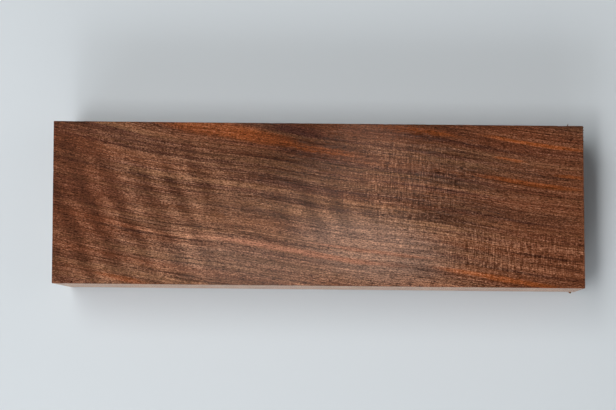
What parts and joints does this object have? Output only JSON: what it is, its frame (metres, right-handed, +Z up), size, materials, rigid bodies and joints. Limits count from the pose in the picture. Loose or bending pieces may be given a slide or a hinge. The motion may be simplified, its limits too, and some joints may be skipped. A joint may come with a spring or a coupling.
{
  "type": "walnut turning blank",
  "caption": "Rectangular wood turning blank, planed and sawn, with crisp edges and end cuts slightly out of square.",
  "frame": {"origin": "centre of the bounding box's bottom, on the surface that the blank rests on", "axes": "+X along the length and the grain, +Y across the width, +Z up through the thickness"},
  "size_m": [0.3026, 0.092, 0.052],
  "materials": {
    "walnut": "planed, unfinished, satin"
  },
  "bodies": {
    "root": {"walnut_blank": "walnut"}
  },
  "joints": []
}
